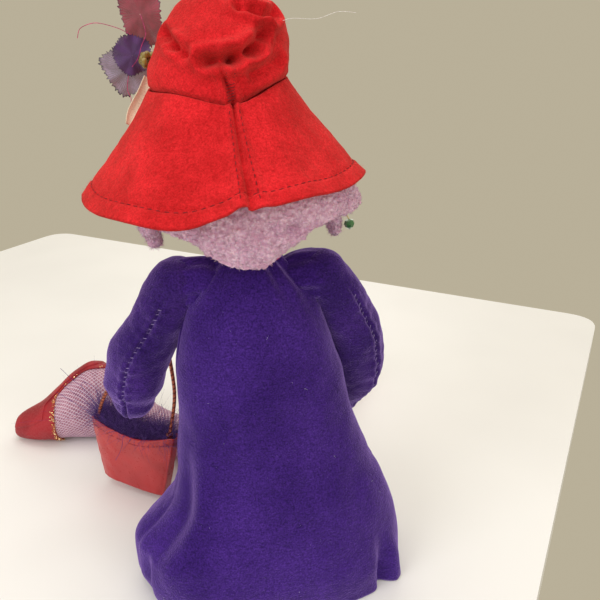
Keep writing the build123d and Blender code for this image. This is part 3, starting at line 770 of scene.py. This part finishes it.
# start, end, depth, width and lip of each pressed fold on the crown, hat frame
CROWN_FOLDS = [((5, 30, 57), (-5, 30.7, 57), 6.0, 2.2, 0.4), ((-5, 30.7, 57), (-14, 28.7, 59.4), 6.0, 2.2, 0.4),
               ((-14, 28.7, 59.4), (-19, 26, 65), 5.0, 2.2, 0.4), ((-12, 22.5, 75.7), (-18, 23, 72.6), 4.0, 2.0, 0.4),
               ((-18, 23, 72.6), (-24, 20.3, 70.6), 4.5, 2.0, 0.4), ((-24, 20.3, 70.6), (-29, 13.5, 73), 4.5, 2.0, 0.4),
               ((-14, 30, 50), (-25, 22.6, 53.6), 2.6, 2.4, 0.5), ((18.6, 9, 69), (16, 19, 63.6), 3.0, 2.0, 0.5),
               ((16, 19, 63.6), (12.4, 25, 60.3), 3.0, 2.0, 0.5), ((8, 26, 65), (-9, 27, 65), -3.0, 7.0, 0.0),
               ((-30, 12, 60), (-27, 17, 58), -2.0, 8.0, 0.0), ((14, -16, 78), (-2, -24, 74), 3.0, 2.6, 0.4)]


def make_hat():
    over, under = brim_rows(0), brim_rows(1.5)[::-1]
    shell = piece("hat_brim_felt", grid(np.concatenate([under, over]), ring=True), FELT, "head", HAT_PLACE,
                  stands_for=["hat_brim"])
    outer = crown_rows(0)
    inner = crown_rows(1.5)[::-1]
    crown = piece("hat_crown_felt", grid(np.concatenate([outer, inner]), ring=True), FELT, "head", HAT_PLACE,
                  stands_for=["hat_crown", "hat_tip"])
    lines = []
    face, wall = brim_rows(-0.35), crown_rows(-0.4)
    lines += stitch_row(face, 8, range(0, 400, 4), 2)
    for col in (98, 106):
        lines += [np.array([face[i, col], face[i + 2, col]]) for i in range(4, 60, 4)]
    for i in range(4, 34, 3):
        lines.append(np.array([wall[i, 88], wall[i + 2, 94]]))
    curved = [np.linspace(a, b, 4) for a, b in lines]
    piece("hat_stitches", strands(curved, np.full((len(curved), 4), 0.17), 4), THREAD_DARK, "head", HAT_PLACE,
          stands_for=["hat_back_seam"])

    def near_edge(centres, normals):
        return 0.35 + 3.0 * (centres[:, 2] < 236)

    fuzz("hat_brim_fibres", shell, RED_FIBRE, "head", 4200, 1.3, 0.03, 1.2, keep=near_edge)
    fuzz("hat_crown_fibres", crown, RED_FIBRE, "head", 2600, 1.3, 0.03, 1.2)


def stitch_row(rows, level, columns, span):
    return [np.array([rows[level, c], rows[level, (c + span) % rows.shape[1]]]) for c in columns]


make_hat()


# ------------------------------------------------------------------ head, hair, flower

HAIR_LEVELS = [(9, -2, 4, 35, 29), (19, -7, 2, 50, 36), (30, -6, 1, 51.5, 37), (44, -1, 0, 44, 35), (58, 3, 0, 34, 32)]


# degrees round the head and how far the hair's lower edge rises there
HAIR_EDGE = [(0, 13), (20, 12), (40, 8), (55, 3.5), (70, 0), (88, -1.5), (100, 1.5), (114, 5.5), (140, 9.5), (200, 8),
             (270, 9), (360, 13)]


def egg_radius(z):
    return 29.0 * np.sqrt(np.clip(1 - ((z - 38) / 34) ** 2, 0, 1))


def face_point(x, z, out=0.0):
    """A point in front of the face cloth, head frame."""
    r = egg_radius(z)
    return np.array([x, -np.sqrt(max(r * r - x * x, 0)) - out, z])


def make_head():
    lat = np.radians(np.linspace(-55, 88, 120))[:, None]
    lon = np.linspace(0, 2 * pi, 180, endpoint=False)[None]
    way = np.stack([np.cos(lat) * np.cos(lon), np.cos(lat) * np.sin(lon), np.sin(lat) + 0 * lon], -1)
    rows = way * np.array([29, 29, 34]) + np.array([0, 0, 38])
    shift = np.zeros(rows.shape[:2])
    for at, high, wide in (((0.5, -0.82, -0.26), 1.7, 0.26), ((-0.5, -0.82, -0.26), 1.7, 0.26),
                           ((0, -0.82, -0.57), 1.6, 0.2), ((0.35, -0.93, 0.14), -1.5, 0.15),
                           ((-0.35, -0.93, 0.14), -1.5, 0.15), ((0, -0.98, 0.02), 1.2, 0.12),
                           ((0.19, -0.90, -0.40), -0.8, 0.05), ((-0.19, -0.90, -0.40), -0.8, 0.05)):
        gap = np.linalg.norm(way - unit(np.array(at, float)), axis=-1)
        shift += high * bell(gap, wide)
    shift -= 0.7 * bell(way[..., 1], 0.03) + 0.25 * np.abs(lumps(rows, 9))
    skin = piece("head_cloth", grid(rows + way * shift[..., None]), SKIN, "head", HEAD_PLACE,
                 stands_for=["head_face", "head_back", "head_stuffing"])
    ball = limb_rows([(0, -29.6, 34.2), (0, -29.6, 36.6)], [3.6, 3.2], around=48, step=0.4)
    piece("nose_button", grid(ball), SKIN, "head", HEAD_PLACE, stands_for=["nose"])
    threads = []
    for i in range(44):
        x = -5.6 + 11.2 * i / 43
        arch = 1 - (x / 6.0) ** 2
        top = 25.6 + 1.3 * arch - 0.9 * exp(-(x / 1.3) ** 2)
        for low, high, out in ((25.0 - 0.5 * arch, top, 0.5), (24.6 - 2.2 * arch, 25.0 - 0.5 * arch, 0.7)):
            threads.append([face_point(x, z, out + 0.35 * sin(pi * k / 5)) for k, z in
                            enumerate(np.linspace(low, high, 6))])
    piece("lips_stitched", strands(threads, np.full((len(threads), 6), 0.2), 5), LIPS, "head", HEAD_PLACE,
          stands_for=["lips"])
    hairs = []
    for side in (-1, 1):
        for i in range(60):
            u = i / 59
            x = side * (5.5 + 10 * u)
            z = 49.0 + 2.2 * sin(pi * u) + rng.normal(0, 0.25)
            hairs.append([face_point(x + side * 1.6 * k, z + 0.5 * k - 0.3 * u * k, 0.3) for k in np.linspace(0, 1, 5)])
        for i in range(16):
            u = i / 15
            root = face_point(side * (6.6 + 6.8 * u), 44.2 + 1.9 * sin(pi * u), 0.8)
            tip = np.array([side * (1.2 * u + 0.4), -1.5, 1.2 + 0.5 * u])
            hairs.append([root + tip * k + np.array([0, 0, 0.7 * k * k]) for k in np.linspace(0, 1, 5)])
    thin = np.tile(np.linspace(0.16, 0.05, 5), (len(hairs), 1))
    piece("brows_and_lashes", strands(hairs, thin, 4), THREAD_DARK, "head", HEAD_PLACE)


def make_hair():
    heights = np.linspace(9, 58, 120)
    shape = curve_through(HAIR_LEVELS, heights)
    lon = np.linspace(0, 2 * pi, 320, endpoint=False)
    deg = np.degrees(lon)[None]
    c, s = np.cos(lon)[None], np.sin(lon)[None]
    mid_x, mid_y, wide, deep = (shape[:, k][:, None] for k in range(4))
    x, y = mid_x + wide * c, mid_y + deep * s
    z = np.repeat(heights[:, None], 320, 1)
    # the lower edge hangs lowest behind her left ear and rises to her right, and tucks under
    low = 1 - ramp(heights, 9, 34)[:, None]
    z = z + low * curve_through(HAIR_EDGE, deg[0])[:, 0]
    face = bell((deg - 270 + 180) % 360 - 180, 44) ** 0.5
    face = ramp(face, 0.42, 0.75) * (1 - ramp(heights, 47, 54)[:, None])
    x, y = x * (1 - 0.62 * face), y * (1 - 0.5 * face)
    rows = np.stack([x, y, z], -1)
    rolled = []
    for share, drop in ((0.66, 5.5), (0.76, 1.5), (0.87, -0.6), (0.95, -0.6)):
        ring = rows[0] * np.array([share, share, 1]) + np.array([0, 0, drop])
        rolled.append(ring)
    rows = np.concatenate([np.array(rolled), rows])
    normal = outward(rows)
    shift = 1.6 * lumps(rows, 20, 2.0) + 1.8 * np.abs(lumps(rows, 2.9, 5.0)) + 0.45 * lumps(rows, 1.6, 7.0)
    for start, end, depth, width in (((-16, 37, 24), (-38, 24, 22), 5.5, 3.0), ((26, 34, 34), (31, 24, 16), 2.4, 3.2),
                                     ((-2, 38, 30), (-12, 36, 14), 1.8, 3.2)):
        a, b = np.array(start, float), np.array(end, float)
        t = np.clip(((rows - a) @ (b - a)) / ((b - a) @ (b - a)), 0, 1)
        gap = np.linalg.norm(rows - (a + t[..., None] * (b - a)), axis=-1)
        shift = shift - depth * bell(gap, width)
    cap = piece("hair_cap_fleece", grid(rows + normal * (shift - 0.6)[..., None]), HAIR, "head", HEAD_PLACE,
                stands_for=["hair_cap"])
    fuzz("hair_curls", cap, HAIR, "head", 6500, 1.1, 0.2, 1.3, keep=lambda c, n: (c[:, 2] < 244) * 1.0)
    for side, path in (("left", LEFT_LOCK), ("right", RIGHT_LOCK)):
        rows = limb_rows(path, LOCK_RADII, around=72, step=0.6)
        rows = rows + outward(rows) * (0.9 * lumps(rows, 6, 3.0) + 0.5 * np.abs(lumps(rows, 2.2, 1.0)))[..., None]
        lock = piece(f"{side}_lock_fleece", grid(rows), HAIR, "head", HEAD_PLACE, stands_for=[f"{side}_front_lock"])
        fuzz(f"{side}_lock_curls", lock, HAIR, "head", 1500, 1.5, 0.15, 1.3)


LOCK_RADII = [6.3, 5.8, 3.8]
LEFT_LOCK = [(43, -18, 33), (45, -20, 22), (44, -20, 13)]
RIGHT_LOCK = [(-46.5, -17.5, 30), (-48, -19, 18), (-50.5, -19.5, 5)]
EARRINGS = {"left": (42, -34, 14), "right": (-57, -13, 8)}


def make_earrings():
    for side, (x, y, z) in EARRINGS.items():
        verts, faces = [(x, y, z - 3.1)], []
        for ring_z, r in ((-1.4, 2.2), (0.4, 3.0), (2.2, 2.3)):
            verts += [(x + r * cos(k * pi / 4), y + r * sin(k * pi / 4), z + ring_z) for k in range(8)]
        verts.append((x, y, z + 3.0))
        faces += [(0, 1 + (k + 1) % 8, 1 + k) for k in range(8)]
        for ring in range(2):
            a, b = 1 + 8 * ring, 9 + 8 * ring
            faces += [(a + k, a + (k + 1) % 8, b + (k + 1) % 8, b + k) for k in range(8)]
        faces += [(17 + k, 17 + (k + 1) % 8, 25) for k in range(8)]
        gem = piece(f"{side}_earring_gem", (verts, faces, None), GEM, "head", HEAD_PLACE,
                    stands_for=[f"{side}_earring"])
        gem.data.polygons.foreach_set("use_smooth", [False] * len(gem.data.polygons))
        hook = [[(x, y, z + 2.8), (x + 0.5, y, z + 3.8), (x * 0.98, y, z + 5.0), (x * 0.94, y, z + 6.4)]]
        piece(f"{side}_earring_hook", strands(hook, np.full((1, 4), 0.3), 8), GLITTER, "head", HEAD_PLACE)


def petal(name, paint, centre, facing, half_wide, half_high, lobes, ruffle, corner=1.0, turn=0.0, stands_for=()):
    """A gauze petal: a ruffled disc whose rim is cut into fine teeth."""
    facing = unit(np.array(facing, float))
    across = unit(np.cross([0, 0, 1.0], facing))
    high = np.cross(facing, across)
    lon = np.linspace(0, 2 * pi, 240, endpoint=False)
    share = np.linspace(0.02, 1, 34)[:, None]
    c, s = np.cos(lon - turn), np.sin(lon - turn)
    reach = (np.abs(c) ** (2 / corner) + np.abs(s) ** (2 / corner)) ** (-corner / 2)
    teeth = 1 + share ** 8 * (0.035 * np.sin(37 * lon) + 0.03 * np.sin(61 * lon + 1) + 0.05 * np.sin(5 * lon + turn))
    radius = share * reach * teeth
    wave = ruffle * share ** 2 * (np.sin(lobes * lon + turn) + 0.5 * np.sin((2 * lobes + 1) * lon + 2))
    flat = (across * (half_wide * radius * np.cos(lon))[..., None] + high * (half_high * radius * np.sin(lon))[..., None])
    rows = np.array(centre, float) + flat + facing * (wave + 1.2 * share)[..., None]
    verts, faces, uvs = grid(rows)
    return piece(name, (verts, faces, uvs), paint, "head", HAT_PLACE, stands_for=stands_for)


def make_flower():
    petal("petal_upper", PETAL, (26, -41, 78), (-0.35, -0.9, 0.25), 10.5, 17, 3, 1.7, turn=0.4,
          stands_for=["flower_upper_petal"])
    petal("petal_lower", PETAL_PALE, (35, -41, 54), (-0.2, -0.97, 0.15), 15, 14.5, 4, 1.5, corner=1.45, turn=0.35,
          stands_for=["flower_lower_petal"])
    petal("petal_inner", PETAL_INNER, (33, -35, 60), (-0.2, -0.97, 0.2), 9.5, 9.5, 3, 1.4, turn=1.2,
          stands_for=["flower_inner_petal"])
    beads = []
    for i in range(16):
        turn, level = 2.4 * i, i / 15
        mid = np.array([24, -26, 57]) + np.array([0.6, -0.8, 0.1]) * (2.5 + 4.5 * level)
        mid = mid + 3.4 * (1 - 0.5 * level) * np.array([0.75 * cos(turn), 0.6 * cos(turn), sin(turn)])
        ball = limb_rows([mid - [0, 0, 0.4], mid + [0, 0, 0.4]], [1.35, 1.35], around=16, step=0.4)
        beads.append(grid(ball[::2]))
    piece("flower_beads", merge(*beads), OLIVE, "head", HAT_PLACE, stands_for=["flower_center"])
    ribbon = []
    for t in np.linspace(-1, 1, 40):
        mid = np.array([34, -19.6, 40]) + np.array([0.5, 0, -0.86]) * 12 * t + np.array([0.6, -1, 0.2]) * 0.9 * sin(3 * t)
        half = 2.6 * (1 - 0.35 * abs(t) ** 3)
        ribbon.append([mid + np.array([0.8, 0.1, 0.6]) * half * k + np.array([0, -0.8, 0]) * (1 - k * k)
                       for k in np.linspace(-1, 1, 12)])
    leaf = piece("hat_leaf_ribbon", grid(np.array(ribbon), closed=False), CREAM, "head", HAT_PLACE,
                 stands_for=["hat_leaf"])
    modify(leaf, "SOLIDIFY", thickness=0.35 * MM, offset=0)
    loops = [[(26, -36, 78), (25, -34, 70), (28, -33, 64), (31, -34, 58), (34, -36, 55)],
             [(30, -36, 68), (38, -38, 73), (48, -40, 76), (55, -40, 74), (57, -41, 70)],
             [(30, -35, 62), (36, -39, 52), (38, -42, 44), (37, -42, 40), (38, -43, 36)]]
    piece("flower_threads", smooth_threads(loops, 0.16), THREAD, "head", HAT_PLACE)
    stray = [[(-25, 20, 68), (-34, 20, 70), (-45, 18, 69), (-56, 17, 71), (-64, 16, 70)]]
    piece("hat_stray_fibre", smooth_threads(stray, 0.07), LINT, "head", HAT_PLACE)


def smooth_threads(lines, radius, count=40):
    """Threads through a few points each."""
    out = []
    for points in lines:
        table = np.column_stack([np.arange(len(points)), np.array(points, float)])
        out.append(curve_through(table, np.linspace(0, len(points) - 1, count)))
    return strands(out, np.full((len(out), count), radius), 5)


make_head()
make_hair()
make_earrings()
make_flower()

# ------------------------------------------------------------------ legs and shoes

LEGS = {"left": ((20, -59, 15), (42, -120, 15), (72, -158, 17), (0.970, -0.242, 0)),
        "right": ((-20, -59, 15), (-38, -118, 15), (-42, -164, 17), (-0.85, -0.527, 0))}
# distance from the ankle, centre height, half height, half width
FOOT = [(-13, 17, 5, 5), (-9, 17, 11, 11), (0, 18, 16.5, 16), (10, 24, 23, 17), (22, 31, 29, 18), (34, 31, 30, 19),
        (49, 27, 26, 20), (64, 20, 19, 19), (79, 13.5, 12, 16), (93, 9.5, 7.8, 10.5), (97.5, 8.5, 5, 6.5),
        (99, 8.2, 0.5, 0.6)]
TOPLINE = 62.0


def foot_points(ankle, way, along, turn, grow):
    """Points on the foot at distances along it and angles round it, both (rows, columns)."""
    shape = curve_through(FOOT, along.ravel()).reshape(*along.shape, 3)
    way = unit(np.array(way, float))
    side = np.cross([0, 0, 1.0], way)
    across = (shape[..., 2] + grow) * np.cos(turn)
    up = shape[..., 0] + (shape[..., 1] + grow) * np.sin(turn)
    points = np.array([ankle[0], ankle[1], 0.0]) + way * along[..., None] + side * across[..., None]
    points[..., 2] = np.maximum(up, 0.6)
    return points


def topline(turn, tilt):
    """How far along the foot the shoe opens at each angle: near the toes low down, at the heel on top."""
    at = np.linspace(-8, TOPLINE, 141)
    shape = curve_through(FOOT, at)
    edge = np.empty_like(turn)
    for i, a in enumerate(turn):
        inside = shape[:, 0] + shape[:, 1] * sin(a - tilt) >= 34 + 0.47 * (TOPLINE - at)
        outside = np.where(~inside)[0]
        edge[i] = at[outside[-1]] if len(outside) else at[0]
    wide = np.exp(-(np.arange(-12, 13) / 5.0) ** 2)
    padded = np.concatenate([edge[-12:], edge, edge[:12]])
    return np.convolve(padded, wide / wide.sum(), "valid")


def make_leg(side):
    hip, knee, ankle, way = LEGS[side]
    lower = f"{side}_lower_leg"
    rows = limb_rows([hip, knee, ankle], [13.6, 13.8, 13.2], around=120, step=0.9)
    n = len(rows)
    t = np.linspace(0, 1, n)[:, None]
    bend = 0.5 * np.sin(t * n * 0.9) * bell(t - 0.55, 0.06) + 0.8 * lumps(rows, 15, 4.0) + 0.2 * lumps(rows, 4, 1.0)
    rows = rows + outward(rows) * (bend - 0.2)[..., None]
    verts, faces, uvs = grid(rows)
    uvs = np.array(uvs) * np.tile([48.0, 78.0], len(uvs) // 2)
    leg = piece(f"{side}_leg_tights", (verts, faces, uvs), NET, None,
                stands_for=[f"{side}_thigh", f"{side}_shin"])
    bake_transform(leg)

    lon = np.linspace(0, 2 * pi, 200, endpoint=False)
    along = np.linspace(-13, 86, 110)[:, None] + 0 * lon[None]
    turn = lon[None] + 0 * along
    rows = foot_points(ankle, way, along, turn, 0)
    rows = rows + outward(rows) * (0.5 * lumps(rows, 13, 6.0))[..., None]
    rows[..., 2] = np.maximum(rows[..., 2], 0.6)
    verts, faces, uvs = grid(rows)
    uvs = np.array(uvs) * np.tile([84.0, 54.0], len(uvs) // 2)
    foot = piece(f"{side}_foot_tights", (verts, faces, uvs), NET, lower, stands_for=[f"{side}_foot"])

    edge = topline(lon, 0.55)
    share = np.linspace(0, 1, 90)[:, None]
    along = edge[None] + share ** 1.15 * (99 - edge[None])
    outer = foot_points(ankle, way, along, turn[:90], 1.4)
    rim = foot_points(ankle, way, along[:1] - 0.3, turn[:1], 0.9)
    inner = foot_points(ankle, way, along[:1] + 1.5, turn[:1], 0.25)
    rows = np.concatenate([inner, rim, outer])
    shift = 0.35 * lumps(rows, 12, 2.0)
    shift[:2] = 0
    rows = rows + outward(rows) * shift[..., None]
    rows[..., 2] = np.maximum(rows[..., 2], 0.25)
    tip = rows[-1].mean(0) + unit(np.array(way, float)) * 0.5
    rows = np.concatenate([rows, np.tile(tip, (1, rows.shape[1], 1))])
    shoe = piece(f"{side}_shoe", grid(rows), SHOE, lower, stands_for=[f"{side}_shoe_upper"])
    sole_edge = np.clip(edge + 9, -4, 70)
    top = (np.sin(lon) > 0.30)
    cols = np.where(top)[0]
    along = sole_edge[None, cols] + np.linspace(0, 1, 70)[:, None] * (97 - sole_edge[None, cols])
    lift = 2.5 * ramp(np.sin(lon[cols]), 0.32, 0.5)[None] * ramp(np.linspace(0, 1, 70), 0, 0.05)[:, None]
    rows = foot_points(ankle, way, along, np.repeat(lon[None, cols], 70, 0), 0.9 + lift * 0.75)
    piece(f"{side}_sole", grid(rows, closed=False), SHOE, lower, stands_for=[f"{side}_shoe_sole"])

    flakes_v, flakes_f = [], []
    for k in range(900):
        a = rng.uniform(0, 2 * pi)
        i = int(a / (2 * pi) * len(lon)) % len(lon)
        blob = exp(-((a - 1.5 * pi) / 0.5) ** 2)
        off = rng.normal(0.4, 1.1 + 1.4 * blob)
        mid = foot_points(ankle, way, np.array([[edge[i] + off]]), np.array([[a]]), 1.3 + rng.uniform(0, 0.7))[0, 0]
        mid[2] = max(mid[2], 0.7)
        u = unit(rng.normal(0, 1, 3))
        v = unit(np.cross(u, rng.normal(0, 1, 3)))
        size = rng.uniform(0.2, 0.55)
        start = len(flakes_v)
        flakes_v += [mid + size * (u * cos(b) + v * sin(b)) for b in (0, 1.6, 3.1, 4.7)]
        flakes_f.append(tuple(range(start, start + 4)))
    flakes = piece(f"{side}_glitter", (flakes_v, flakes_f, None), GLITTER, lower, stands_for=[f"{side}_shoe_trim"])
    flakes.data.polygons.foreach_set("use_smooth", [False] * len(flakes.data.polygons))
    bead_rows = []
    for shift, grow in ((-0.8, 0.5), (-0.4, 1.1), (0.3, 1.5), (0.9, 1.5), (1.4, 1.2)):
        bead_rows.append(foot_points(ankle, way, edge[None] + shift, lon[None], grow)[0])
    piece(f"{side}_glitter_glue", grid(np.array(bead_rows)), SHOE, lower)
    return shoe


make_leg("left")
make_leg("right")

# ------------------------------------------------------------------ purse

PURSE_PLACE = (Matrix.Translation(Vector((79, -91, 5.2)) * MM) @ Matrix.Rotation(radians(-38.3), 4, "Z")
               @ Matrix.Rotation(radians(-4), 4, "Y"))


def purse_rows(grow, floor, count=70):
    """Rings of the purse from its floor to its dipped rim, purse frame."""
    lon = np.linspace(0, 2 * pi, 260, endpoint=False)
    c, s = np.cos(lon)[None], np.sin(lon)[None]
    share = np.linspace(0, 1, count)[:, None]
    wide = 25 + 9 * share ** 0.85 + grow + 0 * c
    deep = 6.3 + 0.9 * np.sin(pi * share * 0.85) + grow
    x = wide * np.sign(c) * np.abs(c) ** 0.55
    y = deep * np.sign(s) * np.abs(s) ** 0.62
    rim = 40 + 5.0 * np.abs(x / 34) ** 1.6 - 3.0 * ramp(np.abs(x), 31.5, 35.5)
    rim = rim + 3.5 * ramp(-x, 4, 34)
    z = floor + share * (rim - floor)
    return np.stack([x, y, z], -1)


def make_purse():
    outer, inner = purse_rows(0, 0.0), purse_rows(-1.1, 1.2)
    shift = 0.7 * lumps(outer, 16, 3.0) + 0.25 * lumps(outer, 5, 3.0)
    ridge = bell(np.abs(outer[..., 0]) - (25 + 9 * np.linspace(0, 1, 70)[:, None] ** 0.85) + 0.9, 0.8)
    outer = outer + outward(outer) * (shift + 0.5 * ridge - 0.4)[..., None]
    base = np.array([outer[0] * np.array([k, k, 0]) + np.array([0, 0, h]) for k, h in
                     ((0.05, -0.6), (0.5, -0.5), (0.85, -0.3), (0.96, 0.0))])
    inner_base = np.array([inner[0] * np.array([k, k, 1]) for k in (0.9, 0.5, 0.05)])
    lip = (outer[-1:] + inner[-1:]) / 2 + np.array([0, 0, 0.5])
    rows = np.concatenate([base, outer, lip, inner[::-1], inner_base])
    piece("purse_shell", grid(rows), VINYL, "purse", PURSE_PLACE,
          stands_for=["purse_front", "purse_back", "purse_gusset"])
    edge = outer[62]
    stitches = [np.linspace(edge[i], edge[(i + 3) % 260], 4) + outward(outer)[62, i] * 0.25 for i in range(0, 260, 5)]
    piece("purse_stitches", strands(stitches, np.full((len(stitches), 4), 0.15), 4), THREAD_DARK, "purse",
          PURSE_PLACE)


def make_marabou():
    """Down barbs that stand out of the purse's mouth and droop, with a few long curled ones."""
    count = 8000
    x = rng.uniform(-27, 27, count)
    rim = 39.5 + 5.0 * np.abs(x / 34) ** 1.6
    root = np.column_stack([x, rng.normal(-0.8, 1.8, count), rim + rng.uniform(-3.5, 2.5, count)])
    way = unit(np.column_stack([0.035 * x + rng.normal(0.1, 0.5, count), rng.normal(-0.25, 0.6, count),
                                rng.uniform(0.5, 1.9, count)]))
    size = rng.uniform(6, 14, count) + 12 * rng.random(count) ** 6 * (1 + np.clip(x, 0, 30) / 25)
    t = np.linspace(0, 1, 7)[None, :, None]
    sway = rng.normal(0, 0.35, (count, 1, 3)) + np.array([0, -0.1, -0.32])
    lines = root[:, None] + size[:, None, None] * (way[:, None] * t + sway * t * t)
    thin = np.tile(np.linspace(0.11, 0.03, 7), (count, 1))
    down = piece("marabou_down", strands(lines, thin), FEATHER, "purse", PURSE_PLACE, stands_for=["marabou_trim"])
    long = [[(20, 3, 45), (26, 6, 58), (34, 8, 68), (44, 9, 74), (52, 9, 79)],
            [(16, 3, 45), (22, 4, 60), (29, 5, 70), (35, 6, 72), (38, 6, 68), (36, 6, 66)],
            [(10, 3, 45), (10, 5, 62), (8, 6, 76), (3, 7, 86)],
            [(22, 2, 45), (34, 4, 54), (46, 5, 60), (55, 5, 63)],
            [(24, 2, 44), (36, 3, 47), (50, 4, 52), (62, 4, 55)],
            [(4, 7, 41), (3, 9.5, 36), (5, 10, 29), (9, 10, 21)],
            [(-6, 7, 42), (-4, 9, 44), (-3, 9.5, 40)],
            [(-16, 2, 45), (-24, 4, 55), (-27, 4, 64), (-24, 3, 72)],
            [(-20, 2, 44), (-30, 4, 50), (-34, 5, 58), (-33, 4, 64)],
            [(0, -4, 44), (4, -14, 50), (14, -22, 52), (24, -28, 50)]]
    piece("marabou_barbs", smooth_threads(long, 0.13, 30), FEATHER, "purse", PURSE_PLACE)
    return down


make_purse()
make_marabou()

# ------------------------------------------------------------------ CAD pieces that keep their shape

KEPT = {"finger_tube": CARD, "left_finger_stall": COTTON, "right_finger_stall": COTTON, "left_leg_tab": COTTON,
        "right_leg_tab": COTTON, "left_eye": EYE, "right_eye": EYE, "strap_tack": THREAD, "strap_left_tab": COPPER,
        "strap_right_tab": COPPER}

for name, paint in KEPT.items():
    for holder in nodes[name].material_slots:
        holder.material = paint
